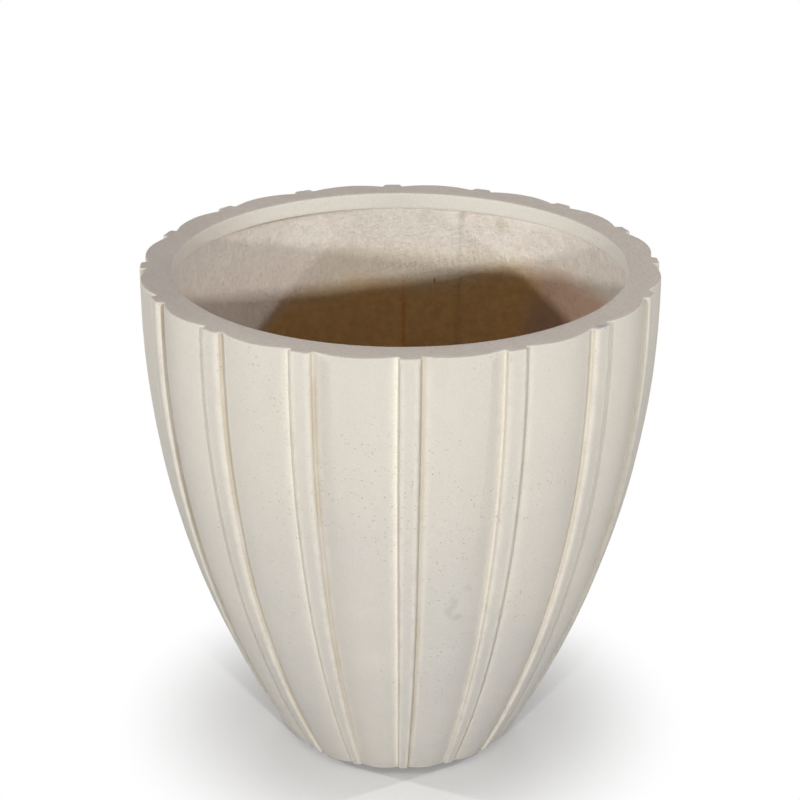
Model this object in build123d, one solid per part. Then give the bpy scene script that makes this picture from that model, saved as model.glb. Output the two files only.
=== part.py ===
from build123d import *
import math
import os

# Round fluted floor planter, in millimetres.
# The origin is on the ground under the middle of the planter, and +Z is up.
# A rib lies on each of +X, +Y, -X and -Y, and -Y is the front.

# Outside of the vessel
rim_radius = 254.0          # middle to the flat top of a rib, at the rim
base_radius = 122.5         # middle to the top of a rib, at the underside
height = 508.0              # ground to rim
widest_below_rim = 17.5     # the side curves in on one arc, with its centre this far under the rim
rim_chamfer = 1.5           # worn outer edge of the rim

# Ribs and lobes, as measured at the rim
rib_count = 16
rib_top_width = 17.5
rib_foot_width = 20.5
rib_height = 7.0
lobe_proud = 0.5            # how far the crest of a lobe stands out past the rib tops

# Wall, measured square to the side arc
face_thickness = 18.0       # rib top to the back of the face
backing_thickness = 10.0
collar_overhang = 3.6       # how far the turned-in collar stands in past the lining
collar_height = 17.0
collar_edge_radius = 2.0
bond_gap = 0.3              # adhesive or cold joint between two cast layers

# Floor
floor_thickness = 28.0
floor_fall = 2.5            # from the wall down to the drain

# Drain sleeve and plug
drain_bore_radius = 12.5
bush_wall = 2.5
bush_flange_width = 9.0
bush_flange_thickness = 3.0
bush_recess = 1.0           # the sleeve's foot stops this far above the underside
plug_clearance = 0.08       # running clearance of the plug's shank in the sleeve
plug_shank_length = 20.0
plug_taper = 1.2            # how much the shank narrows to its foot, on the radius
plug_head_overlap = 6.5      # how far the head reaches out past the bore
plug_head_thickness = 4.5
plug_seat_gap = 0.2
loop_width = 24.0
loop_height = 22.0
loop_thickness = 5.0
loop_hole_radius = 8.0
plug_edge_radius = 1.0

# Feet
foot_count = 4
foot_radius = 15.0
foot_height = 6.0
foot_inset = 13.5           # from the rib tops at the underside in to the edge of a foot
foot_edge_radius = 1.2

section_count = 9           # cross-sections that the fluted side passes through

# Side arc, worked out from the rim and the base
underside = foot_height
arc_height = height - widest_below_rim
base_drop = arc_height - underside
arc_middle = (rim_radius**2 + widest_below_rim**2 - base_radius**2 - base_drop**2) / (
    2 * (rim_radius - base_radius)
)
arc_radius = math.hypot(rim_radius - arc_middle, widest_below_rim)


def side_radius(z, inset=0.0):
    """Radius of the side arc at height z, moved inwards by inset."""
    return arc_middle + math.sqrt((arc_radius - inset) ** 2 - (z - arc_height) ** 2)


# Heights, depths and radii that several pieces share
collar_bottom = height - collar_height
backing_outer = face_thickness + bond_gap
backing_inner = backing_outer + backing_thickness
collar_radius = side_radius(collar_bottom, backing_inner) - collar_overhang
slab_inset = backing_inner + bond_gap
floor_top = underside + floor_thickness
drain_top = floor_top - floor_fall
bush_radius = drain_bore_radius + bush_wall
bush_flange_radius = bush_radius + bush_flange_width


def side_arc(z_start, z_end, inset):
    """The side arc between two heights, moved inwards by inset, in the XZ plane."""
    heights = (z_start, (z_start + z_end) / 2, z_end)
    return ThreePointArc(*[(side_radius(z, inset), z) for z in heights])


def polar_point(radius, degrees, z):
    angle = math.radians(degrees)
    return Vector(radius * math.cos(angle), radius * math.sin(angle), z)


def fluted_outline(z, radius):
    """Closed outline of ribs and lobes at height z, scaled from the rim to the given radius."""
    scale = radius / rim_radius
    pitch = 360 / rib_count
    rib_top = math.hypot(rim_radius, rib_top_width / 2) * scale
    top_half = math.degrees(math.atan2(rib_top_width / 2, rim_radius))
    rib_foot = math.hypot(rim_radius - rib_height, rib_foot_width / 2) * scale
    foot_half = math.degrees(math.atan2(rib_foot_width / 2, rim_radius - rib_height))
    crest = (rim_radius + lobe_proud) * scale
    edges = []
    for number in range(rib_count):
        rib = number * pitch
        foot_before = polar_point(rib_foot, rib - foot_half, z)
        top_before = polar_point(rib_top, rib - top_half, z)
        top_after = polar_point(rib_top, rib + top_half, z)
        foot_after = polar_point(rib_foot, rib + foot_half, z)
        lobe_crest = polar_point(crest, rib + pitch / 2, z)
        next_foot = polar_point(rib_foot, rib + pitch - foot_half, z)
        edges += [
            Edge.make_line(foot_before, top_before),
            Edge.make_line(top_before, top_after),
            Edge.make_line(top_after, foot_after),
            Edge.make_three_point_arc(foot_after, lobe_crest, next_foot),
        ]
    return Wire(edges)


def revolved(profile_lines):
    """Solid of revolution about Z of a closed profile drawn in the XZ plane."""
    return revolve(Plane.XZ * make_face(profile_lines), Axis.Z)


def fluted_body():
    """Solid planter body with lobes and ribs, before it is hollowed."""
    shoulder = height - rim_chamfer
    span = shoulder - underside
    sections = []
    for number in range(section_count):
        z = underside + span * number / (section_count - 1)
        sections.append(fluted_outline(z, side_radius(z)))
    side = Solid.make_loft(sections)
    rim_edge = Solid.make_loft(
        [sections[-1], fluted_outline(height, side_radius(height) - rim_chamfer)], ruled=True
    )
    return side + rim_edge


def face_shell():
    """Cast face: fluted outside, flat rim, turned-in collar and an open underside."""
    cavity_foot = (side_radius(underside, face_thickness), underside)
    cavity_top = (side_radius(collar_bottom, face_thickness), collar_bottom)
    profile = Polyline(
        cavity_top,
        (collar_radius, collar_bottom),
        (collar_radius, height),
        (0, height),
        (0, underside),
        cavity_foot,
    ) + side_arc(underside, collar_bottom, face_thickness)
    shell = fluted_body() - revolved(profile)
    inner_rim = shell.edges().filter_by(GeomType.CIRCLE).group_by(Axis.Z)[-1]
    return fillet(inner_rim, collar_edge_radius)


def backing_wall():
    """Fibre-reinforced lining between the face and the floor slab, up to under the collar."""
    top = collar_bottom - bond_gap
    outer = side_arc(underside, top, backing_outer)
    inner = side_arc(underside, top, backing_inner)
    return revolved(outer + Line(outer @ 1, inner @ 1) + inner + Line(inner @ 0, outer @ 0))


def floor_slab():
    """Floor wedged in the tapering lining, with a fall to the drain and a seat for the sleeve."""
    hole = bush_radius + bond_gap
    pocket = bush_flange_radius + bond_gap
    pocket_floor = drain_top - bush_flange_thickness - bond_gap
    side = side_arc(underside, floor_top, slab_inset)
    outline = Polyline(
        side @ 1,
        (pocket, drain_top),
        (pocket, pocket_floor),
        (hole, pocket_floor),
        (hole, underside),
        side @ 0,
    )
    return revolved(outline + side)


def drain_bush():
    """Flanged sleeve that lines the drain hole, flush with the floor."""
    flange_bottom = drain_top - bush_flange_thickness
    foot = underside + bush_recess
    profile = Polyline(
        (drain_bore_radius, foot),
        (bush_radius, foot),
        (bush_radius, flange_bottom),
        (bush_flange_radius, flange_bottom),
        (bush_flange_radius, drain_top),
        (drain_bore_radius, drain_top),
        close=True,
    )
    return revolved(profile)


def drain_plug():
    """Rubber plug with a flat head, a tapering shank and a pull loop, in one moulding."""
    head_bottom = drain_top + plug_seat_gap
    head_top = head_bottom + plug_head_thickness
    shank_foot = head_bottom - plug_shank_length
    shank_radius = drain_bore_radius - plug_clearance
    head_radius = drain_bore_radius + plug_head_overlap
    profile = Polyline(
        (0, shank_foot),
        (shank_radius - plug_taper, shank_foot),
        (shank_radius, head_bottom),
        (head_radius, head_bottom),
        (head_radius, head_top),
        (0, head_top),
        close=True,
    )
    body = revolved(profile)
    head_edge = body.edges().filter_by(GeomType.CIRCLE).group_by(Axis.Z)[-1]
    body = fillet(head_edge, plug_edge_radius)
    loop_round = loop_width / 2
    loop_centre = head_top + loop_height - loop_round
    blank = Rectangle(loop_width, loop_centre - head_bottom, align=(Align.CENTER, Align.MIN))
    blank = Pos(0, head_bottom) * blank + Pos(0, loop_centre) * Circle(loop_round)
    blank -= Pos(0, loop_centre) * Circle(loop_hole_radius)
    loop = extrude(Plane.XZ * blank, loop_thickness / 2, both=True)
    return body + loop


def foot_pad():
    """Rubber pad with a rounded edge at the ground."""
    pad = Cylinder(foot_radius, foot_height, align=(Align.CENTER, Align.CENTER, Align.MIN))
    ground_edge = pad.edges().group_by(Axis.Z)[0]
    return fillet(ground_edge, foot_edge_radius)


def write(node, shape):
    export_step(shape, f"parts/{node}.step")


os.makedirs("parts", exist_ok=True)
write("face_shell", face_shell())
write("backing_wall", backing_wall())
write("floor_slab", floor_slab())
write("drain_bush", drain_bush())
write("drain_plug", drain_plug())
foot_circle_radius = base_radius - foot_inset - foot_radius
for number in range(foot_count):
    turn = 360 / foot_count * (number + 0.5)
    place = Rot(0, 0, turn) * Pos(foot_circle_radius, 0, 0)
    write(f"foot_pad_{number + 1}", place * foot_pad())
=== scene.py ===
import math

import bpy
import numpy as np
from bpy.props import FloatProperty, FloatVectorProperty, IntProperty, PointerProperty
from bpy.types import Operator, Panel, PropertyGroup
from mathutils import Matrix, Vector, noise


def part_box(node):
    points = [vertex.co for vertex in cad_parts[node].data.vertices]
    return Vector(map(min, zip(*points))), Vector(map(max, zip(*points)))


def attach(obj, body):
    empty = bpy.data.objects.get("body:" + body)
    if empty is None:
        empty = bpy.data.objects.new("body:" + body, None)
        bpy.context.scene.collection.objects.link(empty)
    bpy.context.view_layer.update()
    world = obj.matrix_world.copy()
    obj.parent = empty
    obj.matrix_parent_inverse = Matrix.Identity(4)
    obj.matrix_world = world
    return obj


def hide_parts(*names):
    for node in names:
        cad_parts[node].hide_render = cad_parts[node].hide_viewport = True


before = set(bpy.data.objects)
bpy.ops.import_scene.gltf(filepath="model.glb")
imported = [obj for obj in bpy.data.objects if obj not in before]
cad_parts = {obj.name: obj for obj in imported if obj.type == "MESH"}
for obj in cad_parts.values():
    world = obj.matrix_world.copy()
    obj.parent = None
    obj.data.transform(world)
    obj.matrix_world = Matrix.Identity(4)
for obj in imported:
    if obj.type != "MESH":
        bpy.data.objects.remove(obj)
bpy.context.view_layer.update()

bl_info = {
    "name": "Fluted Floor Planter",
    "version": (1, 0, 0),
    "blender": (4, 5, 0),
    "location": "View3D > Sidebar > Planter",
    "description": "Dresses a round fluted cast planter: face, lining, floor, drain, feet and stage",
    "category": "Object",
}

SHELL_LOW, SHELL_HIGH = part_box("face_shell")
LINING_LOW, LINING_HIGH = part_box("backing_wall")
SLAB_LOW, SLAB_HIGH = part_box("floor_slab")
BUSH_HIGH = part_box("drain_bush")[1]

# How finely the meshes are divided
LOBE_STEPS = 9
CORNER_STEPS = 4
ROUND_STEPS = 4
SIDE_STEPS = 108
RIM_STEPS = 4
COLLAR_STEPS = 5
LINING_AROUND = 480
LINING_UP = 150
FLOOR_AROUND = 240
FLOOR_ACROSS = 60
FACE_BACK_STEPS = 9
LINING_BACK_STEPS = 10
UNDERSIDE_STEPS = 12
STAGE_SIDES = 96
STAGE_RINGS = (0.05, 0.4, 1.2, 6.0)

# Hand-made unevenness: depths in metres, turns round the planter in radians, and the seam's lean in
# radians per metre
RIB_WANDER = 0.0032
FACE_SWELL = 0.00055
FACE_NIBBLE = 0.00012
LINING_LUMPS = 0.0009
SEAM_STEP = 0.002
SEAM_TURN = math.radians(72)
SEAM_LEAN = 0.06
# Where round the planter the painted shadow under the collar lies, and how far it spreads
COLLAR_SHADOW_TURN = math.radians(125)
COLLAR_SHADOW_SPREAD = math.radians(24)
TROWEL_SWIRL = 0.0006
TROWEL_GRAIN = 0.0004

# Over this distance towards +X, the tan painted shade and stain on the ribs' right walls fades by half,
# the one on their left walls grows, and the painted highlight on their left walls fades
SHADE_AND_HIGHLIGHT_TURN = 0.12

# A painted highlight runs along each lobe this far from its valley and this wide, and the valley's painted
# shade and tan stain reach this far onto the lobe
HIGHLIGHT_LINE = 0.003
HIGHLIGHT_WIDTH = 0.0032
SHADE_AND_STAIN_WIDTH = 0.0012

# Where the collar's colour sets in: distance from the middle, and height
COLLAR_RADII = (0.2262, 0.2245)
COLLAR_HEIGHTS = (0.488, 0.490)

# Height of the overspray's lower edge, and how far it rises to the right and drops to the left. The edge
# runs along the shadow lines inside, so the brown fibre below it paints in part of the shadow
SPRAY_EDGE = 0.403
SPRAY_RIGHT_RISE = 0.037
SPRAY_LEFT_DROP = 0.07

# Depth of each finish's bump, in metres
CAST_RELIEF = 0.0008
LINING_RELIEF = 0.0009
FLOOR_RELIEF = 0.0010
MOULD_RELIEF = 0.0001

# Drain sleeve, as in the CAD
SLEEVE_RADIUS = 0.015
SLEEVE_FLANGE = 0.003

# Tints of the cast face beside its main colours
MOTTLE = (0.60, 0.56, 0.48)
STREAK = (0.66, 0.61, 0.50)
# Painted highlight for the ribs' left walls
LEFT_WALL_HIGHLIGHT = (0.95, 0.90, 0.78)
# Painted shade for the collar at the left
COLLAR_PAINTED_SHADE = (0.62, 0.53, 0.47)
RIM_BLOTCH = (0.78, 0.69, 0.61)
# Painted shade for the rim top at the left
RIM_LEFT_PAINTED_SHADE = (0.52, 0.455, 0.405)
PIT = (0.33, 0.28, 0.21)
SAND = (0.50, 0.46, 0.39)

# Tints of the lining, the floor and the small pieces beside their main colours
SPRAY_CLOUD = (0.70, 0.63, 0.55)
SPRAY_FUZZ = (0.62, 0.54, 0.46)
SPRAY_FLECK = (0.65, 0.58, 0.51)
# Painted highlight beside the lining's seam
SEAM_HIGHLIGHT_TINT = (0.90, 0.87, 0.81)
SPRAY_WARM = (0.80, 0.69, 0.52)
SPRAY_PINK = (0.78, 0.635, 0.565)
# Painted shade for the overspray at the left
SPRAY_LEFT_SHADE = (0.60, 0.525, 0.475)
# The fibre's lit copy, painted where the left lamp falls
FIBRE_LAMP_LIT = (0.63, 0.395, 0.275)
HAIR = (0.88, 0.76, 0.62)
# Painted shadow line at the seam's step
SEAM_SHADOW_TINT = (0.26, 0.24, 0.22)
# Painted shadow under the collar
COLLAR_SHADOW_TINT = (0.26, 0.19, 0.13)
FLOOR_DAMP = (0.22, 0.16, 0.10)
DRAIN_DUST = (0.20, 0.16, 0.12)
FOOT_DUST = (0.14, 0.13, 0.12)

# Marks on the face and the lining: centre, reach, strength and tint of each
FACE_MARKS = (
    ((0.0566, -0.2197, 0.2638), (0.007, 0.01, 0.007), 0.25, (0.42, 0.42, 0.39)),
    ((0.0437, -0.2185, 0.2476), (0.006, 0.01, 0.012), 0.33, (0.40, 0.40, 0.37)),
    ((0.0392, -0.2168, 0.2383), (0.006, 0.01, 0.009), 0.33, (0.40, 0.40, 0.37)),
    ((0.0466, -0.2130, 0.2300), (0.009, 0.01, 0.006), 0.38, (0.38, 0.38, 0.35)),
    ((0.1778, -0.1774, 0.508), (0.008, 0.006, 0.004), 0.60, (0.46, 0.49, 0.52)),
    ((-0.1876, -0.1714, 0.4813), (0.002, 0.003, 0.002), 0.80, (0.35, 0.24, 0.15)),
)
LINING_MARKS = (
    ((0.1140, 0.1950, 0.4800), (0.008, 0.02, 0.014), 0.30, (0.55, 0.40, 0.22)),
    ((0.0745, 0.2132, 0.4860), (0.007, 0.02, 0.007), 0.28, (0.55, 0.42, 0.25)),
    ((0.0449, 0.2178, 0.4102), (0.0016, 0.02, 0.0045), 0.60, (0.26, 0.15, 0.08)),
    ((0.0110, 0.2165, 0.3650), (0.0035, 0.02, 0.060), 0.50, (0.78, 0.30, 0.07)),
)

# Lamps: direction and height angle in degrees, distance and side in metres, and watts
LAMPS = (
    ("lamp_right", 5.4, 22.6, 2.5, 0.08, 18.6),
    ("lamp_left", 172.0, 16.6, 2.5, 0.10, 23.4),
    ("lamp_front_right", -73.5, 12.3, 4.0, 0.16, 75.0),
    ("lamp_front_left", -112.0, 9.1, 4.0, 0.16, 62.0),
    ("lamp_back", 86.0, 4.0, 3.5, 1.20, 34.0),
)

# Strength of the even light from all round
ROOM_LIGHT = 0.07


def length(name, description, default, **more):
    """A size in metres for a property group."""
    return FloatProperty(name=name, description=description, default=default, unit="LENGTH", **more)


def colour(name, description, default):
    """A colour for a property group."""
    return FloatVectorProperty(
        name=name, description=description, default=default, subtype="COLOR", size=3, min=0, max=1
    )


class PlanterShape(PropertyGroup):
    """Sizes of the cast body, in metres."""

    rim_radius: length("Rim radius", "Middle to the flat top of a rib at the rim", 0.254)
    base_radius: length("Base radius", "Middle to the top of a rib at the underside", 0.1225)
    widest_below_rim: length("Widest below rim", "Depth of the side arc's centre", 0.0175)
    rib_count: IntProperty(name="Ribs", description="Ribs around the body", default=16, min=3)
    rib_top_width: length("Rib top", "Width of a rib's flat top at the rim", 0.0178)
    right_lean: length("Right lean", "How far a rib's right wall spreads to its foot", 0.0018)
    left_lean: length("Left lean", "How far a rib's left wall spreads to its foot", 0.0006)
    rib_height: length("Rib height", "How far a rib stands out of its valley", 0.0070)
    lobe_proud: length("Lobe proud", "How far a lobe's crest passes the rib tops", 0.0005)
    rib_round: length("Rib edge", "Rounding of a rib's top edges", 0.0030)
    foot_round: length("Valley edge", "Rounding where a rib meets a lobe", 0.0022)
    face_thickness: length("Face", "Rib top to the back of the face", 0.018)
    lining_thickness: length("Lining", "Thickness of the lining", 0.01)
    bond_gap: length("Bond", "Gap between two cast layers", 0.0003)
    collar_overhang: length("Collar overhang", "How far the collar stands in past the lining", 0.0036)
    collar_height: length("Collar height", "Height of the smooth band inside the rim", 0.017)
    rim_round: length("Rim edge", "Rounding of the rim's outer edge", 0.0014)
    collar_round: length("Collar edge", "Rounding of the rim's inner edge", 0.002)
    base_round: length("Base edge", "Rounding of the foot of the body", 0.0025)


class PlanterFinish(PropertyGroup):
    """Colours of the cast, lining, floor, plastic and rubber."""

    cream: colour("Cream", "Main colour of the cast face", (0.72, 0.673, 0.597))
    cool: colour("Cool cast", "Cooler clouding low on the face", (0.635, 0.61, 0.573))
    # Wear on rib and rim edges, and painted highlight along the lobes' ends and on the ribs' left walls
    wear_and_highlight: colour("Worn edge", "Rubbed edges of ribs and rim", (0.80, 0.755, 0.66))
    # Painted shade with some real tan stain, on the ribs' right walls and in the creases
    valley: colour("Valley tint", "Tan tint in the valleys", (0.50, 0.405, 0.265))
    collar: colour("Collar", "Smooth band inside the rim", (0.80, 0.765, 0.69))
    # Rim top, painted lighter than the face to make up for the little light the low lamps throw on it
    rim_top: colour("Rim top", "Rubbed flat top of the rim", (0.91, 0.805, 0.715))
    overspray: colour("Overspray", "Pale overspray near the mouth", (0.87, 0.84, 0.785))
    # Bare fibre, painted a saturated orange for the warm bounced light in the shade
    fibre: colour("Fibre", "Bare fibre lining lower down", (0.91, 0.57, 0.195))
    floor_cast: colour("Floor cast", "Trowelled floor", (0.36, 0.25, 0.15))
    plastic: colour("Plastic", "Drain sleeve", (0.035, 0.036, 0.038))
    rubber: colour("Rubber", "Plug and feet", (0.024, 0.024, 0.025))


class PlanterStage(PropertyGroup):
    """Camera, lamps and floor."""

    camera_place: FloatVectorProperty(
        name="Camera", description="Where the camera stands", default=(-0.0688, -2.0352, 1.2280),
        subtype="TRANSLATION", size=3,
    )
    camera_heading: FloatProperty(
        name="Heading", description="Turn of the camera to the right of +Y",
        default=math.radians(1.94), subtype="ANGLE",
    )
    camera_pitch: FloatProperty(
        name="Pitch", description="How far the camera looks down", default=math.radians(23.046),
        subtype="ANGLE",
    )
    camera_roll: FloatProperty(
        name="Roll", description="Tilt of the camera", default=math.radians(0.148), subtype="ANGLE"
    )
    camera_lens: FloatProperty(name="Lens", description="Focal length in mm", default=99.07)
    lamp_power: FloatProperty(name="Lamp power", description="Factor on every lamp", default=1.0)
    floor_colour: colour("Floor", "Pale floor", (0.86, 0.86, 0.86))
    shadow_reach: length("Shadow reach", "Where the shadowed floor starts to fade", 0.12)
    shadow_fade: length("Shadow fade", "Where the floor is plain white", 0.31)


# Shapes


def side_radius(shape, height, inset=0.0):
    """Radius of the body's side arc at a height, moved inwards by inset."""
    arc_height = SHELL_HIGH[2] - shape.widest_below_rim
    drop = arc_height - SHELL_LOW[2]
    rim, base, rise = shape.rim_radius, shape.base_radius, shape.widest_below_rim
    middle = (rim**2 + rise**2 - base**2 - drop**2) / (2 * (rim - base))
    radius = math.hypot(rim - middle, rise) - inset
    return middle + np.sqrt(radius**2 - (np.asarray(height) - arc_height) ** 2)


def rounded_corner(before, corner, after, steps):
    """Points of a soft corner that leaves one side at before and joins the next at after."""
    t = np.linspace(0, 1, steps + 1)[:, None]
    return (1 - t) ** 2 * before + 2 * t * (1 - t) * corner + t**2 * after


def half_sector(shape, lean):
    """Outline from the middle of a rib to the crest of the next lobe, with edge and valley masks."""
    half_pitch = math.pi / shape.rib_count
    top_mid = np.array([shape.rim_radius, 0.0])
    top = np.array([shape.rim_radius, shape.rib_top_width / 2])
    foot = np.array([shape.rim_radius - shape.rib_height, shape.rib_top_width / 2 + lean])
    crest_radius = shape.rim_radius + shape.lobe_proud
    axis = np.array([math.cos(half_pitch), math.sin(half_pitch)])
    crest = crest_radius * axis
    along = float(foot @ axis)
    across = float(np.linalg.norm(foot - along * axis))
    rise = crest_radius - along
    lobe_radius = (across**2 + rise**2) / (2 * rise)
    centre = crest - lobe_radius * axis
    start = math.atan2(*(foot - centre)[::-1])
    end = math.atan2(*(crest - centre)[::-1])
    side = (foot - top) / np.linalg.norm(foot - top)
    top_trim = shape.rib_round
    foot_trim = shape.foot_round
    start += math.copysign(foot_trim / lobe_radius, end - start)
    angles = np.linspace(start, end, LOBE_STEPS + 1)
    lobe = centre + lobe_radius * np.stack([np.cos(angles), np.sin(angles)], 1)
    top_end = top - np.array([0, top_trim])
    top_corner = rounded_corner(top_end, top, top + side * top_trim, CORNER_STEPS)
    foot_corner = rounded_corner(foot - side * foot_trim, foot, lobe[0], CORNER_STEPS)
    middle = (top_corner[-1] + foot_corner[0]) / 2
    points = [top_mid, (top_mid + top_end) / 2, *top_corner, middle, *foot_corner, *lobe[1:]]
    # Edge marks wear on the rib's top corners and a painted highlight strip along the lobe; valley marks
    # painted shade and tan stain at the rib's foot
    edge = [0, 0, *[1] * (CORNER_STEPS + 1), 0.4, *[0] * (CORNER_STEPS + 1)]
    valley = [0, 0, *[0] * (CORNER_STEPS + 1), 0.8, *[1] * (CORNER_STEPS + 1)]
    reach = np.linalg.norm(lobe[1:] - lobe[0], axis=1)
    edge += list(0.9 * np.exp(-(((reach - HIGHLIGHT_LINE) / HIGHLIGHT_WIDTH) ** 2)))
    valley += list(np.exp(-reach / SHADE_AND_STAIN_WIDTH))
    return np.array(points), np.array(edge), np.array(valley)


def rim_outline(shape):
    """Closed outline of the whole rim, its outward normals, and masks of edges, valleys and the painted
    highlight on the ribs' left walls.
    """
    half, edge, valley = half_sector(shape, shape.right_lean)
    other, other_edge, other_valley = (part[-2:0:-1] for part in half_sector(shape, shape.left_lean))
    pitch = 2 * math.pi / shape.rib_count
    radius = np.concatenate([np.hypot(*half.T), np.hypot(*other.T)])
    angle = np.concatenate([np.arctan2(*half.T[::-1]), pitch - np.arctan2(*other.T[::-1])])
    turns = np.arange(shape.rib_count)[:, None] * pitch
    angles = (angle[None, :] + turns).ravel()
    radii = np.tile(radius, shape.rib_count)
    points = np.stack([radii * np.cos(angles), radii * np.sin(angles)], 1)
    on_left = np.tile(np.arange(len(radius)) >= len(half), shape.rib_count)
    edge = np.tile(np.concatenate([edge, other_edge]), shape.rib_count)
    valley = np.tile(np.concatenate([valley, other_valley]), shape.rib_count)
    # Towards +X the painted shade and stain move onto the left walls, and the left walls' painted
    # highlight fades
    turned = np.clip(points[:, 0] / SHADE_AND_HIGHLIGHT_TURN, 0, 1)
    pale = np.where(on_left, valley * (1 - 0.85 * turned), 0.0)
    valley *= np.where(on_left, 0.12 + 0.50 * turned, 1 - 0.5 * turned)
    tangent = np.roll(points, -1, 0) - np.roll(points, 1, 0)
    normals = np.stack([tangent[:, 1], -tangent[:, 0]], 1)
    normals /= np.linalg.norm(normals, axis=1)[:, None]
    # The edge mask also carries the left walls' painted highlight
    return points, normals, {"edge": np.maximum(edge, pale), "valley": valley, "pale": pale}


def waves(points, size, seed):
    """Smooth noise from -1 to 1 at each point, with lumps of the given size in metres."""
    shift = Vector((seed * 7.31, seed * 3.17, seed * 5.03))
    return np.array([noise.noise(Vector(p) / size + shift) for p in points])


def ring(outline, height):
    """Outline of x and y lifted to a height."""
    return np.column_stack([outline, np.full(len(outline), height)])


def ring_mesh(name, rings, masks=None):
    """Closed mesh from rings of equal length: each joins the next, and the last joins the first."""
    rows, count = len(rings), len(rings[0])
    corners = np.arange(rows * count).reshape(rows, count)
    beyond = np.roll(corners, -1, 0)
    faces = np.stack(
        [corners, np.roll(corners, -1, 1), np.roll(beyond, -1, 1), beyond], -1
    ).reshape(-1, 4)
    mesh = bpy.data.meshes.new(name)
    mesh.from_pydata(np.concatenate(rings).tolist(), [], faces.tolist())
    for key, values in (masks or {}).items():
        layer = mesh.attributes.new(key, "FLOAT", "POINT")
        layer.data.foreach_set("value", np.asarray(values, dtype=np.float32).ravel())
    mesh.validate()
    mesh.shade_smooth()
    piece = bpy.data.objects.new(name, mesh)
    bpy.context.collection.objects.link(piece)
    return piece


def cast_face_mesh(shape):
    """The fluted face with its rim, collar, hidden back and foot, as one closed skin."""
    outline, normals, marks = rim_outline(shape)
    polar = outline / np.linalg.norm(outline, axis=1)[:, None]
    low, high = SHELL_LOW[2], SHELL_HIGH[2]
    rings = []
    masks = {name: [] for name in ("edge", "valley", "pale", "rim_top")}

    def add(points, **given):
        """Adds a ring with the masks that are given, and 0 for the others."""
        rings.append(points)
        for name, rows in masks.items():
            rows.append(np.broadcast_to(given.get(name, 0.0), len(points)))

    def fluted(height, inset):
        """The outline at a height on the side arc, moved inwards by inset."""
        scale = side_radius(shape, height) / shape.rim_radius
        return ring(outline * scale - normals * np.reshape(inset, (-1, 1)), height)

    quarter = np.linspace(0, math.pi / 2, ROUND_STEPS + 1)
    wobble = 1 + 0.3 * waves(ring(outline, 0), 0.035, 4)
    base_round = shape.base_round * wobble * 0.5
    for turn in quarter[::-1]:
        points = fluted(low, base_round * (1 - math.cos(turn)))
        points[:, 2] = low + base_round * (1 - math.sin(turn))
        add(points, edge=0.6 * math.sin(turn), valley=marks["valley"], pale=marks["pale"])
    heights = np.linspace(low + 2 * shape.base_round, high - 2 * shape.rim_round, SIDE_STEPS)
    for height in heights:
        add(fluted(height, 0.0), **marks)
    rim_round = shape.rim_round * wobble
    for turn in quarter:
        points = fluted(high, rim_round * (1 - math.cos(turn)))
        points[:, 2] = high - rim_round * (1 - math.sin(turn))
        kept, gone = math.cos(turn), math.sin(turn)
        add(points, edge=np.maximum(marks["edge"], gone), valley=marks["valley"] * kept,
            pale=marks["pale"] * kept, rim_top=gone**4)
    rim_edge = rings[-1][:, :2]
    collar_bottom = high - shape.collar_height
    inset = shape.face_thickness + shape.bond_gap + shape.lining_thickness
    collar = float(side_radius(shape, collar_bottom, inset)) - shape.collar_overhang
    inner_edge = polar * (collar + shape.collar_round)
    for share in np.linspace(0, 1, RIM_STEPS + 1)[1:]:
        add(ring(rim_edge + (inner_edge - rim_edge) * share, high), rim_top=1.0)
    for turn in quarter[::-1][1:]:
        radius = collar + shape.collar_round * (1 - math.cos(turn))
        height = high - shape.collar_round * (1 - math.sin(turn))
        add(ring(polar * radius, height), edge=0.8 * math.sin(2 * turn), rim_top=math.sin(turn))
    lip = 0.001
    for height in np.linspace(high - shape.collar_round, collar_bottom + lip, COLLAR_STEPS)[1:]:
        add(ring(polar * collar, height))
    # Wear colour on the collar's lower lip, and painted shade in the crease under it
    add(ring(polar * (collar + 0.3 * lip), collar_bottom + 0.3 * lip), edge=0.3)
    add(ring(polar * (collar + lip), collar_bottom), valley=0.5)
    for height in np.linspace(collar_bottom, low, FACE_BACK_STEPS):
        add(ring(polar * side_radius(shape, height, shape.face_thickness), height))
    return rings, masks


def hand_finish(shape, rings):
    """Slight hand-cast waviness of the fluted outside."""
    sides = np.array(rings)
    flat = sides.reshape(-1, 3)
    across = waves(flat * (1, 1, 0.6), 0.16, 1)
    swell = waves(flat, 0.09, 2)
    nibble = waves(flat, 0.014, 3)
    radius = np.hypot(flat[:, 0], flat[:, 1])
    inner = side_radius(shape, flat[:, 2], shape.face_thickness * 0.8)
    outside = radius > inner
    angle = np.arctan2(flat[:, 1], flat[:, 0]) + outside * RIB_WANDER * across
    rim_weight = np.clip((SHELL_HIGH[2] - flat[:, 2]) / 0.03, 0, 1)
    new_radius = radius + outside * rim_weight * (FACE_SWELL * swell + FACE_NIBBLE * nibble)
    flat[:, 0] = new_radius * np.cos(angle)
    flat[:, 1] = new_radius * np.sin(angle)
    return flat.reshape(sides.shape)


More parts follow.
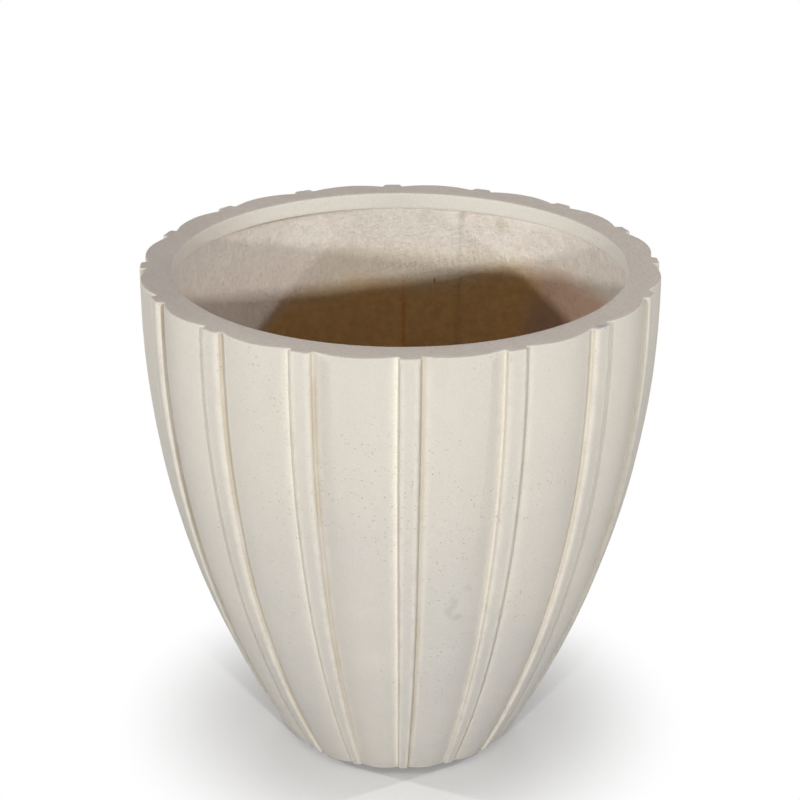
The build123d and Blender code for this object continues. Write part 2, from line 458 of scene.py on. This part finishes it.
def lining_mesh(shape):
    """Rough lining: a lumpy inner wall with an overlap seam, and a plain back, with masks of the painted
    highlight and shadow line at the seam and the painted shadow under the collar.
    """
    angles = np.linspace(0, 2 * math.pi, LINING_AROUND, endpoint=False)
    polar = np.stack([np.cos(angles), np.sin(angles)], 1)
    low, high = LINING_LOW[2], LINING_HIGH[2]
    back = shape.face_thickness + shape.bond_gap
    front = back + shape.lining_thickness
    heights = np.linspace(low, high, LINING_UP)
    inner = np.array([ring(polar * side_radius(shape, z, front), z) for z in heights])
    flat = inner.reshape(-1, 3)
    lumps = 0.5 * waves(flat, 0.06, 11) + 0.35 * waves(flat, 0.018, 12) + 0.2 * waves(flat, 0.008, 13)
    around = np.arctan2(flat[:, 1], flat[:, 0])
    seam = SEAM_TURN - SEAM_LEAN * (SHELL_HIGH[2] - flat[:, 2])
    offset = (around - seam) * np.hypot(flat[:, 0], flat[:, 1])
    overlap = np.where(offset > 0, np.exp(-offset / 0.05), np.exp(-((offset / 0.0035) ** 2)))
    inwards = LINING_LUMPS * lumps + SEAM_STEP * overlap
    # Painted highlight right of the seam's overlap, and a painted shadow line just left of its step
    seam_painted_highlight = np.where(offset > 0, np.exp(-offset / 0.045), 0)
    seam_shadow_line = np.exp(-(((offset + 0.0015) / 0.0026) ** 2))
    # Painted shadow just under the collar at the left back
    left_back = np.exp(-(((around - COLLAR_SHADOW_TURN) / COLLAR_SHADOW_SPREAD) ** 2))
    under_collar_shadow = np.exp(-(high - flat[:, 2]) / 0.0016) * left_back
    keep = np.clip((flat[:, 2] - low) / 0.02, 0, 1)
    radius = np.hypot(flat[:, 0], flat[:, 1])
    flat[:, :2] *= (1 - inwards * keep / radius)[:, None]
    rings = list(flat.reshape(inner.shape))
    for z in np.linspace(high, low, LINING_BACK_STEPS):
        rings.append(ring(polar * side_radius(shape, z, back), z))
    masks = {}
    for key, value in (("seam_painted_highlight", seam_painted_highlight), ("seam_shadow_line", seam_shadow_line), ("under_collar_shadow", under_collar_shadow)):
        rows = np.zeros((len(rings), LINING_AROUND))
        rows[:LINING_UP] = value.reshape(LINING_UP, LINING_AROUND)
        masks[key] = rows[::-1]
    return rings[::-1], masks


def floor_mesh(shape):
    """Trowelled floor with a fall to the sleeve, and a plain underside."""
    angles = np.linspace(0, 2 * math.pi, FLOOR_AROUND, endpoint=False)
    polar = np.stack([np.cos(angles), np.sin(angles)], 1)
    inset = shape.face_thickness + 2 * shape.bond_gap + shape.lining_thickness
    low, high = SLAB_LOW[2], SLAB_HIGH[2]
    drain_high = BUSH_HIGH[2]
    flange = BUSH_HIGH[0] + shape.bond_gap
    pocket = drain_high - SLEEVE_FLANGE - shape.bond_gap
    hole = SLEEVE_RADIUS + shape.bond_gap
    rings = []
    outer = float(side_radius(shape, high, inset))
    for share in np.linspace(0, 1, FLOOR_ACROSS):
        radius = outer + (flange - outer) * share
        points = ring(polar * radius, high + (drain_high - high) * share)
        weight = min(1.0, 12 * share, 12 * (1 - share))
        swirl = points * (1, 1, 0) + (0, 0, radius * 0.4)
        strokes = TROWEL_SWIRL * waves(swirl, 0.03, 21) + TROWEL_GRAIN * waves(points, 0.009, 22)
        points[:, 2] -= weight * np.abs(strokes)
        rings.append(points)
    rings += [ring(polar * flange, pocket), ring(polar * hole, pocket), ring(polar * hole, low)]
    edge = float(side_radius(shape, low, inset))
    for share in np.linspace(0, 1, UNDERSIDE_STEPS)[1:]:
        rings.append(ring(polar * (hole + (edge - hole) * share), low))
    return rings[::-1]


# Materials


class Graph:
    """Short way to write a node tree: add makes a node, sets its values and links its sockets."""

    def __init__(self, tree):
        self.tree = tree

    def add(self, kind, sockets=None, output=0, **settings):
        """Makes a node and returns one of its outputs."""
        node = self.tree.nodes.new("ShaderNode" + kind)
        for key, value in settings.items():
            setattr(node, key, value)
        for key, value in (sockets or {}).items():
            if isinstance(value, bpy.types.NodeSocket):
                self.tree.links.new(value, node.inputs[key])
            else:
                node.inputs[key].default_value = value
        return node.outputs[output]

    def math(self, operation, a, b=0.0, clamp=False):
        """One step of arithmetic on two values."""
        return self.add("Math", {0: a, 1: b}, operation=operation, use_clamp=clamp)

    def times(self, a, b):
        """Product of two values."""
        return self.math("MULTIPLY", a, b)

    def axis(self, vector, number):
        """Coordinate 0, 1 or 2 of a vector: x, y or z."""
        return self.add("SeparateXYZ", {0: vector}, output=number)

    def mix(self, factor, a, b):
        """Colour a where factor is 0, and b where it is 1."""
        a = (*a, 1) if isinstance(a, tuple) and len(a) == 3 else a
        b = (*b, 1) if isinstance(b, tuple) and len(b) == 3 else b
        return self.add(
            "Mix", {0: factor, 6: a, 7: b}, output=2, data_type="RGBA", blend_type="MIX",
            clamp_factor=True,
        )

    def ramp(self, value, low, high, to_low=0.0, to_high=1.0):
        """Eases from to_low, where value is low, to to_high, where it is high."""
        sockets = {"Value": value, 1: low, 2: high, 3: to_low, 4: to_high}
        return self.add("MapRange", sockets, interpolation_type="SMOOTHSTEP")

    def noise(self, vector, size, detail=2.0, roughness=0.5):
        """Noise around 0.5, with lumps of the given size in metres."""
        sockets = {"Vector": vector, "Scale": 1 / size, "Detail": detail, "Roughness": roughness}
        return self.add("TexNoise", sockets)

    def place(self):
        """The point of the surface, in metres in the planter's own frame."""
        return self.add("TexCoord", output=3)

    def mask(self, name):
        """A mask that the mesh carries."""
        return self.add("Attribute", output=2, attribute_name=name)


def node_group(name, inputs, outputs, build):
    """A shader node group, made once: build gets the graph and the input sockets, returns outputs."""
    if name in bpy.data.node_groups:
        return bpy.data.node_groups[name]
    tree = bpy.data.node_groups.new(name, "ShaderNodeTree")
    for key, kind, default in inputs:
        socket = tree.interface.new_socket(key, in_out="INPUT", socket_type="NodeSocket" + kind)
        if default is not None:
            socket.default_value = default
    for key, kind in outputs:
        tree.interface.new_socket(key, in_out="OUTPUT", socket_type="NodeSocket" + kind)
    source = tree.nodes.new("NodeGroupInput")
    sink = tree.nodes.new("NodeGroupOutput")
    results = build(Graph(tree), source.outputs)
    for socket, result in zip(sink.inputs, results):
        tree.links.new(result, socket)
    return tree


def use_group(graph, tree, sockets):
    """Places a node group and returns its outputs."""
    node = graph.tree.nodes.new("ShaderNodeGroup")
    node.node_tree = tree
    for key, value in sockets.items():
        if isinstance(value, bpy.types.NodeSocket):
            graph.tree.links.new(value, node.inputs[key])
        else:
            node.inputs[key].default_value = value
    return node.outputs


def pinholes():
    """Small casting pits: cells of the given spacing, of which some hold a round pit."""

    def build(g, source):
        scale = g.math("DIVIDE", 1.0, source["Spacing"])
        jitter = g.add("TexNoise", {"Vector": source["Vector"], "Scale": 60.0}, output=1)
        vector = g.add("Mix", {0: 0.002, 4: source["Vector"], 5: jitter}, output=1, data_type="VECTOR")
        cells = g.tree.nodes.new("ShaderNodeTexVoronoi")
        g.tree.links.new(vector, cells.inputs["Vector"])
        g.tree.links.new(scale, cells.inputs["Scale"])
        pick = g.add("SeparateColor", {0: cells.outputs["Color"]})
        chosen = g.math("LESS_THAN", pick, source["Share"])
        width = g.times(source["Size"], g.math("ADD", 0.5, pick))
        pit = g.math("SUBTRACT", 1.0, g.math("DIVIDE", cells.outputs["Distance"], width), clamp=True)
        pit = g.times(pit, chosen)
        return [pit]

    inputs = [("Vector", "Vector", None), ("Spacing", "Float", 0.004), ("Size", "Float", 0.3),
              ("Share", "Float", 0.3)]
    return node_group("Pinholes", inputs, [("Pit", "Float")], build)


def clouding():
    """Soft blotches from 0 to 1, of the given size."""

    def build(g, source):
        scale = g.math("DIVIDE", 1.0, source["Size"])
        sockets = {"Vector": source["Vector"], "Scale": scale, "Detail": 4.0, "Roughness": 0.55}
        value = g.add("TexNoise", sockets)
        low = g.math("SUBTRACT", 0.5, source["Spread"])
        high = g.math("ADD", 0.5, source["Spread"])
        return [g.add("MapRange", {"Value": value, 1: low, 2: high}, interpolation_type="SMOOTHSTEP")]

    inputs = [("Vector", "Vector", None), ("Size", "Float", 0.1), ("Spread", "Float", 0.2)]
    return node_group("Clouding", inputs, [("Cloud", "Float")], build)


def streaks():
    """Upright streaks of the given width, from 0 to 1."""

    def build(g, source):
        squash = g.add("VectorMath", {0: source["Vector"], 1: (1.0, 1.0, 0.06)}, operation="MULTIPLY")
        scale = g.math("DIVIDE", 1.0, source["Width"])
        value = g.add("TexNoise", {"Vector": squash, "Scale": scale, "Detail": 3.0})
        return [g.add("MapRange", {"Value": value, 1: 0.42, 2: 0.68}, interpolation_type="SMOOTHSTEP")]

    inputs = [("Vector", "Vector", None), ("Width", "Float", 0.02)]
    return node_group("Streaks", inputs, [("Streak", "Float")], build)


def stain():
    """A blotch with a ragged edge round a point of the surface."""

    def build(g, source):
        away = g.add("VectorMath", {0: source["Vector"], 1: source["Centre"]}, operation="SUBTRACT")
        shrunk = g.add("VectorMath", {0: away, 1: source["Reach"]}, operation="DIVIDE")
        distance = g.add("VectorMath", {0: shrunk}, output=1, operation="LENGTH")
        ragged = g.add("TexNoise", {"Vector": source["Vector"], "Scale": 220.0, "Detail": 3.0})
        distance = g.math("ADD", distance, g.times(g.math("SUBTRACT", ragged, 0.5), 1.1))
        return [g.add("MapRange", {"Value": distance, 1: 1.0, 2: 0.25}, interpolation_type="SMOOTHSTEP")]

    inputs = [("Vector", "Vector", None), ("Centre", "Vector", None), ("Reach", "Vector", None)]
    return node_group("Stain", inputs, [("Stain", "Float")], build)


def grain():
    """Fine sandy grain and soft unevenness as one height from 0 to 1."""

    def build(g, source):
        fine = g.math("DIVIDE", 1.0, source["Size"])
        coarse = g.times(fine, 0.12)
        a = g.add("TexNoise", {"Vector": source["Vector"], "Scale": fine, "Detail": 3.0})
        b = g.add("TexNoise", {"Vector": source["Vector"], "Scale": coarse, "Detail": 2.0})
        return [g.add("Mix", {0: source["Soft"], 2: a, 3: b})]

    inputs = [("Vector", "Vector", None), ("Size", "Float", 0.001), ("Soft", "Float", 0.5)]
    return node_group("Grain", inputs, [("Height", "Float")], build)


def fibres():
    """Matted fibres: crossing bundles of thin strands, as a height from 0 to 1."""

    def build(g, source):
        layers = []
        for turn in ((0.3, 0.2, 0.5), (1.4, 0.9, -0.6), (-0.7, 1.9, 1.1)):
            turned = g.add("VectorRotate", {"Vector": source["Vector"], "Rotation": turn},
                           rotation_type="EULER_XYZ")
            long = g.add("VectorMath", {0: turned, 1: (1.0, 1.0, 0.12)}, operation="MULTIPLY")
            scale = g.math("DIVIDE", 1.0, source["Width"])
            sockets = {"Vector": long, "Scale": scale, "Detail": 2.0, "Distortion": 1.2}
            strand = g.add("TexNoise", sockets)
            layers.append(g.math("ABSOLUTE", g.math("SUBTRACT", strand, 0.5)))
        nearest = g.math("MINIMUM", g.math("MINIMUM", layers[0], layers[1]), layers[2])
        return [g.math("SUBTRACT", 1.0, g.times(nearest, 9.0), clamp=True)]

    inputs = [("Vector", "Vector", None), ("Width", "Float", 0.002)]
    return node_group("Fibres", inputs, [("Height", "Float")], build)


def new_material(name):
    """An empty material and the graph to fill it."""
    material = bpy.data.materials.new(name)
    material.use_nodes = True
    material.node_tree.nodes.clear()
    return material, Graph(material.node_tree)


def finish_material(g, base, roughness, height, depth, **plain):
    """Principled surface with a bump of the given depth in metres."""
    bump = g.add("Bump", {"Strength": 1.0, "Distance": depth, "Height": height})
    shader = g.tree.nodes.new("ShaderNodeBsdfPrincipled")
    for key, value in (("Base Color", base), ("Roughness", roughness), ("Normal", bump)):
        g.tree.links.new(value, shader.inputs[key])
    for key, value in plain.items():
        shader.inputs[key.replace("_", " ")].default_value = value
    sink = g.tree.nodes.new("ShaderNodeOutputMaterial")
    g.tree.links.new(shader.outputs[0], sink.inputs["Surface"])


def cast_material(finish):
    """Matt cream cast: clouding, pinholes, edge wear, painted highlights and shade, tan stain and a few
    marks.
    """
    material, g = new_material("cast_cream")
    place = g.place()
    cloud = use_group(g, clouding(), {"Vector": place, "Size": 0.16, "Spread": 0.22})[0]
    mottle = use_group(g, clouding(), {"Vector": place, "Size": 0.022, "Spread": 0.25})[0]
    height = g.axis(place, 2)
    low = g.ramp(height, 0.46, 0.12)
    base = g.mix(g.times(g.math("ADD", low, 0.25), g.times(cloud, 0.8)),
                 tuple(finish.cream), tuple(finish.cool))
    base = g.mix(g.times(mottle, 0.10), base, MOTTLE)
    streak = use_group(g, streaks(), {"Vector": place, "Width": 0.018})[0]
    base = g.mix(g.times(streak, 0.12), base, STREAK)
    # Painted shade with some real tan stain in the valleys, strongest on the ribs' right walls
    valley = g.mask("valley")
    patchy = g.ramp(g.noise(place, 0.07, 3.0), 0.3, 0.65, 0.25, 1.0)
    base = g.mix(g.times(valley, g.times(patchy, 0.62)), base, tuple(finish.valley))
    # Wear on rib and rim edges, and painted highlight along each lobe's end and on the ribs' left walls
    edge = g.mask("edge")
    wear_and_highlight_patches = g.ramp(g.noise(place, 0.02, 4.0, 0.6), 0.32, 0.6, 0.2, 1.0)
    base = g.mix(g.times(edge, g.times(wear_and_highlight_patches, 0.75)), base, tuple(finish.wear_and_highlight))
    # Painted highlight on the ribs' left walls
    base = g.mix(g.times(g.mask("pale"), 0.62), base, LEFT_WALL_HIGHLIGHT)
    from_middle = g.ramp(polar_place(g, place)[0], *COLLAR_RADII)
    inside = g.times(from_middle, g.ramp(height, *COLLAR_HEIGHTS))
    base = g.mix(inside, base, tuple(finish.collar))
    sideways = g.axis(place, 0)
    # Painted shade on the collar towards the left
    left_collar_shading = g.times(inside, g.ramp(sideways, -0.12, -0.21, 0.0, 0.5))
    base = g.mix(left_collar_shading, base, COLLAR_PAINTED_SHADE)
    top = g.mask("rim_top")
    sanded = g.ramp(g.noise(place, 0.0011, 2.0, 0.7), 0.3, 0.7)
    brushed = g.ramp(g.noise(polar_place(g, place)[1], 1.0, 3.0, 0.6), 0.3, 0.7)
    blotch = g.ramp(g.noise(place, 0.03, 3.0), 0.3, 0.7)
    rubbed_top = g.math("ADD", g.times(sanded, 0.5), g.times(brushed, 0.5))
    # The rim top is painted lighter for the low lamps, with painted shade at the left
    dim, pale = (tuple(c * share for c in finish.rim_top) for share in (0.84, 1.14))
    top_colour = g.mix(rubbed_top, dim, pale)
    top_colour = g.mix(g.times(blotch, 0.25), top_colour, RIM_BLOTCH)
    top_colour = g.mix(g.ramp(sideways, -0.15, -0.25, 0.0, 0.4), top_colour, RIM_LEFT_PAINTED_SHADE)
    base = g.mix(top, base, top_colour)
    pits = use_group(g, pinholes(), {"Vector": place, "Spacing": 0.0030, "Size": 0.32, "Share": 0.42})[0]
    specks = use_group(g, pinholes(), {"Vector": place, "Spacing": 0.011, "Size": 0.14, "Share": 0.3})[0]
    holes = g.math("MAXIMUM", pits, specks)
    patch = g.ramp(g.noise(place, 0.09, 2.0), 0.4, 0.62, 0.15, 1.0)
    seen = g.times(g.times(holes, patch), g.ramp(top, 0.0, 1.0, 1.0, 0.35))
    base = g.mix(g.times(seen, 0.62), base, PIT)
    for centre, reach, strength, tint in FACE_MARKS:
        blot = use_group(g, stain(), {"Vector": place, "Centre": centre, "Reach": reach})[0]
        base = g.mix(g.times(blot, strength), base, tint)
    fleck = g.ramp(g.noise(place, 0.0015, 2.0, 0.7), 0.35, 0.65)
    base = g.mix(g.times(fleck, 0.17), base, SAND)
    rough = g.ramp(cloud, 0.0, 1.0, 0.78, 0.92)
    sand = use_group(g, grain(), {"Vector": place, "Size": 0.0013, "Soft": 0.45})[0]
    bump = g.math("SUBTRACT", sand, g.times(seen, 0.9))
    finish_material(g, base, rough, bump, CAST_RELIEF, Specular_IOR_Level=0.3)
    return material


def lining_material(finish):
    """Pale overspray at the mouth that thins to bare brown fibre lower down, with painted light and shade
    on both.
    """
    material, g = new_material("fibre_lining")
    place = g.place()
    height = g.axis(place, 2)
    sideways = g.axis(place, 0)
    # The overspray's edge runs along the shadow lines, so the brown below it is partly painted shadow
    drift = g.times(g.math("SUBTRACT", g.noise(place, 0.09, 3.0), 0.5), 0.04)
    right_rise = g.ramp(sideways, 0.03, 0.15, 0.0, SPRAY_RIGHT_RISE)
    left_drop = g.ramp(sideways, -0.11, -0.175, 0.0, SPRAY_LEFT_DROP)
    edge_height = g.math("SUBTRACT", g.math("ADD", SPRAY_EDGE, right_rise), left_drop)
    above = g.math("ADD", g.math("SUBTRACT", height, edge_height), drift)
    bare = g.ramp(above, 0.014, -0.020)
    deep = g.axis(place, 1)
    wander = g.times(g.math("SUBTRACT", g.noise(place, 0.06, 3.0), 0.5), 0.05)
    uneven_height = g.math("ADD", height, wander)
    # Painted light: the fibre's lit copy at the right back, where the left lamp falls
    right = g.ramp(g.math("ADD", sideways, wander), 0.13, 0.16)
    right_back = g.times(right, g.ramp(deep, -0.05, 0.05))
    lamp_lit_fibre = g.times(right_back, g.ramp(uneven_height, 0.30, 0.39))
    cloud = use_group(g, clouding(), {"Vector": place, "Size": 0.05, "Spread": 0.2})[0]
    mat = use_group(g, fibres(), {"Vector": place, "Width": 0.0032})[0]
    fuzz = use_group(g, clouding(), {"Vector": place, "Size": 0.009, "Spread": 0.2})[0]
    sprayed = g.mix(g.times(cloud, 0.45), tuple(finish.overspray), SPRAY_CLOUD)
    sprayed = g.mix(g.times(fuzz, 0.33), sprayed, SPRAY_FUZZ)
    flecks = g.ramp(g.noise(place, 0.0024, 3.0, 0.7), 0.40, 0.62)
    sprayed = g.mix(g.times(flecks, 0.22), sprayed, SPRAY_FLECK)
    # Painted highlight right of the seam
    sprayed = g.mix(g.times(g.mask("seam_painted_highlight"), 0.6), sprayed, SEAM_HIGHLIGHT_TINT)
    warm = g.times(g.ramp(height, 0.468, 0.425), g.ramp(sideways, -0.12, -0.05, 0.0, 0.6))
    sprayed = g.mix(warm, sprayed, SPRAY_WARM)
    pink = g.times(g.ramp(uneven_height, 0.475, 0.425), g.ramp(sideways, -0.06, -0.13))
    sprayed = g.mix(g.times(pink, 0.6), sprayed, SPRAY_PINK)
    # Painted shade on the overspray towards the left
    sprayed = g.mix(g.ramp(sideways, -0.09, -0.17, 0.0, 0.36), sprayed, SPRAY_LEFT_SHADE)
    # The fibre's own colour is its shaded copy, orange for the warm bounced light
    fibre = g.mix(g.times(fuzz, 0.5), tuple(finish.fibre), tuple(c * 0.72 for c in finish.fibre))
    fibre = g.mix(lamp_lit_fibre, fibre, FIBRE_LAMP_LIT)
    base = g.mix(bare, sprayed, fibre)
    base = g.mix(g.times(mat, 0.26), base, HAIR)
    # Painted shadow line at the seam's step
    base = g.mix(g.times(g.mask("seam_shadow_line"), 0.16), base, SEAM_SHADOW_TINT)
    # Painted shadow under the collar at the left back
    base = g.mix(g.times(g.mask("under_collar_shadow"), 0.8), base, COLLAR_SHADOW_TINT)
    for centre, reach, strength, tint in LINING_MARKS:
        blot = use_group(g, stain(), {"Vector": place, "Centre": centre, "Reach": reach})[0]
        base = g.mix(g.times(blot, strength), base, tint)
    rough = g.ramp(fuzz, 0.0, 1.0, 0.85, 0.97)
    bump = g.add("Mix", {0: 0.45, 2: fuzz, 3: mat})
    finish_material(g, base, rough, bump, LINING_RELIEF, Specular_IOR_Level=0.2)
    return material


def floor_cast_material(finish):
    """Rough trowelled floor."""
    material, g = new_material("floor_cast")
    place = g.place()
    cloud = use_group(g, clouding(), {"Vector": place, "Size": 0.05, "Spread": 0.2})[0]
    fuzz = use_group(g, clouding(), {"Vector": place, "Size": 0.006, "Spread": 0.25})[0]
    base = g.mix(cloud, tuple(finish.floor_cast), tuple(c * 1.35 for c in finish.floor_cast))
    base = g.mix(g.times(fuzz, 0.35), base, FLOOR_DAMP)
    sand = use_group(g, grain(), {"Vector": place, "Size": 0.0016, "Soft": 0.5})[0]
    rough = g.ramp(fuzz, 0.0, 1.0, 0.85, 0.96)
    finish_material(g, base, rough, sand, FLOOR_RELIEF, Specular_IOR_Level=0.2)
    return material


def moulded_material(name, tint, dusty, low_rough, high_rough):
    """Moulded plastic or rubber: fine mould grain, dust in patches and faint scuffs."""
    material, g = new_material(name)
    place = g.place()
    dust = use_group(g, clouding(), {"Vector": place, "Size": 0.012, "Spread": 0.18})[0]
    scuff = use_group(g, streaks(), {"Vector": place, "Width": 0.0015})[0]
    base = g.mix(g.times(dust, 0.4), tint, dusty)
    base = g.mix(g.times(scuff, 0.12), base, dusty)
    rough = g.ramp(dust, 0.0, 1.0, low_rough, high_rough)
    sand = use_group(g, grain(), {"Vector": place, "Size": 0.0006, "Soft": 0.3})[0]
    finish_material(g, base, rough, sand, MOULD_RELIEF)
    return material


def dress(node, material):
    """Gives a CAD node its material in every slot."""
    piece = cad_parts[node]
    if not piece.material_slots:
        piece.data.materials.append(material)
    for slot in piece.material_slots:
        slot.material = material


# Operators


class PLANTER_OT_cast_face(Operator):
    """Builds the fluted cream face with its rim and collar"""

    bl_idname = "planter.cast_face"
    bl_label = "Cast face"

    def execute(self, context):
        shape = context.scene.planter_shape
        rings, masks = cast_face_mesh(shape)
        piece = ring_mesh("cast_face", hand_finish(shape, rings), masks)
        piece.data.materials.append(cast_material(context.scene.planter_finish))
        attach(piece, "vessel")
        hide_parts("face_shell")
        return {"FINISHED"}


class PLANTER_OT_lay_lining(Operator):
    """Builds the rough lining and the trowelled floor"""

    bl_idname = "planter.lay_lining"
    bl_label = "Lay lining"

    def execute(self, context):
        shape = context.scene.planter_shape
        finish = context.scene.planter_finish
        lining = ring_mesh("rough_lining", *lining_mesh(shape))
        lining.data.materials.append(lining_material(finish))
        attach(lining, "vessel")
        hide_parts("backing_wall")
        floor = ring_mesh("trowelled_floor", floor_mesh(shape))
        floor.data.materials.append(floor_cast_material(finish))
        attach(floor, "vessel")
        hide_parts("floor_slab")
        return {"FINISHED"}


class PLANTER_OT_fit_drain(Operator):
    """Finishes the drain sleeve and its plug"""

    bl_idname = "planter.fit_drain"
    bl_label = "Fit drain"

    def execute(self, context):
        finish = context.scene.planter_finish
        plastic, rubber = tuple(finish.plastic), tuple(finish.rubber)
        dress("drain_bush", moulded_material("sleeve_plastic", plastic, DRAIN_DUST, 0.45, 0.7))
        dress("drain_plug", moulded_material("plug_rubber", rubber, DRAIN_DUST, 0.6, 0.85))
        return {"FINISHED"}


class PLANTER_OT_fit_feet(Operator):
    """Finishes the rubber feet"""

    bl_idname = "planter.fit_feet"
    bl_label = "Fit feet"

    def execute(self, context):
        finish = context.scene.planter_finish
        material = moulded_material("foot_rubber", tuple(finish.rubber), FOOT_DUST, 0.6, 0.85)
        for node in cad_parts:
            if node.startswith("foot_pad"):
                dress(node, material)
        return {"FINISHED"}


class PLANTER_OT_set_stage(Operator):
    """Sets the pale floor, the lamps, the background and the camera"""

    bl_idname = "planter.set_stage"
    bl_label = "Set stage"

    def execute(self, context):
        stage = context.scene.planter_stage
        add_floor(stage)
        add_lamps(stage)
        add_world()
        add_camera(stage)
        context.scene.view_settings.view_transform = "Standard"
        return {"FINISHED"}


def add_lamps(stage):
    """Square lamps round the planter, which point at its mouth."""
    mouth = Vector((0, 0, SHELL_HIGH[2]))
    for name, direction, rise, distance, side, watts in LAMPS:
        turn, lift = math.radians(direction), math.radians(rise)
        way = Vector((math.cos(turn) * math.cos(lift), math.sin(turn) * math.cos(lift), math.sin(lift)))
        lamp = bpy.data.lights.new(name, "AREA")
        lamp.shape = "SQUARE"
        lamp.size = side
        lamp.energy = watts * stage.lamp_power
        holder = bpy.data.objects.new(name, lamp)
        holder.location = mouth + way * distance
        holder.rotation_euler = way.to_track_quat("Z", "Y").to_euler()
        holder.visible_camera = False
        bpy.context.collection.objects.link(holder)


def polar_place(g, place):
    """Distance from the upright middle line, and a vector that runs fast across and slowly around it."""
    axes = g.add("SeparateXYZ", {0: place}).node.outputs
    flat = g.add("CombineXYZ", {0: axes[0], 1: axes[1]})
    distance = g.add("VectorMath", {0: flat}, output=1, operation="LENGTH")
    turn = g.math("ARCTAN2", axes[1], axes[0])
    around = g.add("CombineXYZ", {0: g.times(distance, 900.0), 1: g.times(turn, 22.0)})
    return distance, around


def seen_directly(g):
    """1 for camera, glossy and transmission rays."""
    rays = g.tree.nodes.new("ShaderNodeLightPath").outputs
    seen = g.math("MAXIMUM", rays["Is Camera Ray"], rays["Is Glossy Ray"])
    return g.math("MAXIMUM", seen, rays["Is Transmission Ray"])


def add_world():
    """Dim even light from all round, which looks white."""
    world = bpy.data.worlds.new("studio")
    world.use_nodes = True
    world.node_tree.nodes.clear()
    g = Graph(world.node_tree)
    strength = g.ramp(seen_directly(g), 0.0, 1.0, ROOM_LIGHT, 1.0)
    light = g.add("Background", {"Color": (1, 1, 1, 1), "Strength": strength})
    sink = world.node_tree.nodes.new("ShaderNodeOutputWorld")
    world.node_tree.links.new(light, sink.inputs["Surface"])
    bpy.context.scene.world = world


def add_floor(stage):
    """Round pale floor that holds the planter's shadow and fades to white away from it."""
    verts, faces = [(0.0, 0.0, 0.0)], []
    for distance in STAGE_RINGS:
        for step in range(STAGE_SIDES):
            turn = 2 * math.pi * step / STAGE_SIDES
            verts.append((distance * math.cos(turn), distance * math.sin(turn), 0.0))
    for step in range(STAGE_SIDES):
        after = (step + 1) % STAGE_SIDES
        faces.append((0, 1 + step, 1 + after))
        for row in range(len(STAGE_RINGS) - 1):
            a, b = 1 + row * STAGE_SIDES, 1 + (row + 1) * STAGE_SIDES
            faces.append((a + step, b + step, b + after, a + after))
    mesh = bpy.data.meshes.new("studio_floor")
    mesh.from_pydata(verts, [], faces)
    floor = bpy.data.objects.new("studio_floor", mesh)
    bpy.context.collection.objects.link(floor)
    material, g = new_material("pale_floor")
    place = g.place()
    away = g.add("VectorMath", {0: place}, output=1, operation="LENGTH")
    plain = g.times(g.ramp(away, stage.shadow_reach, stage.shadow_fade), seen_directly(g))
    mottle = g.noise(place, 0.35, 2.0)
    tint = g.mix(mottle, tuple(stage.floor_colour), tuple(c * 0.98 for c in stage.floor_colour))
    tint = g.mix(seen_directly(g), tuple(c * 0.5 for c in stage.floor_colour), tint)
    matt = g.add("BsdfDiffuse", {"Color": tint})
    white = g.add("Emission", {"Color": (1, 1, 1, 1), "Strength": 1.0})
    surface = g.add("MixShader", {0: plain, 1: matt, 2: white})
    sink = material.node_tree.nodes.new("ShaderNodeOutputMaterial")
    material.node_tree.links.new(surface, sink.inputs["Surface"])
    mesh.materials.append(material)


def add_camera(stage):
    """Camera at the photograph's viewing angle."""
    data = bpy.data.cameras.new("camera")
    data.lens = stage.camera_lens
    data.sensor_width = 36.0
    camera = bpy.data.objects.new("camera", data)
    bpy.context.collection.objects.link(camera)
    turn = Matrix.Rotation(-stage.camera_heading, 4, "Z")
    tilt = Matrix.Rotation(math.pi / 2 - stage.camera_pitch, 4, "X")
    roll = Matrix.Rotation(stage.camera_roll, 4, "Z")
    camera.matrix_world = Matrix.Translation(Vector(stage.camera_place)) @ turn @ tilt @ roll
    bpy.context.scene.camera = camera


OPERATORS = (
    PLANTER_OT_cast_face,
    PLANTER_OT_lay_lining,
    PLANTER_OT_fit_drain,
    PLANTER_OT_fit_feet,
    PLANTER_OT_set_stage,
)


class PLANTER_PT_panel(Panel):
    """Lists the planter's steps and settings"""

    bl_idname = "PLANTER_PT_panel"
    bl_label = "Fluted planter"
    bl_space_type = "VIEW_3D"
    bl_region_type = "UI"
    bl_category = "Planter"

    def draw(self, context):
        for operator in OPERATORS:
            self.layout.operator(operator.bl_idname)
        scene = context.scene
        for group in (scene.planter_shape, scene.planter_finish, scene.planter_stage):
            box = self.layout.box()
            for key in group.__annotations__:
                box.prop(group, key)


CLASSES = (PlanterShape, PlanterFinish, PlanterStage, *OPERATORS, PLANTER_PT_panel)


def register():
    for cls in CLASSES:
        bpy.utils.register_class(cls)
    bpy.types.Scene.planter_shape = PointerProperty(type=PlanterShape)
    bpy.types.Scene.planter_finish = PointerProperty(type=PlanterFinish)
    bpy.types.Scene.planter_stage = PointerProperty(type=PlanterStage)


def unregister():
    for key in ("planter_shape", "planter_finish", "planter_stage"):
        delattr(bpy.types.Scene, key)
    for cls in reversed(CLASSES):
        bpy.utils.unregister_class(cls)


def main():
    register()
    bpy.ops.planter.cast_face()
    bpy.ops.planter.lay_lining()
    bpy.ops.planter.fit_drain()
    bpy.ops.planter.fit_feet()
    bpy.ops.planter.set_stage()


if __name__ == "__main__":
    main()
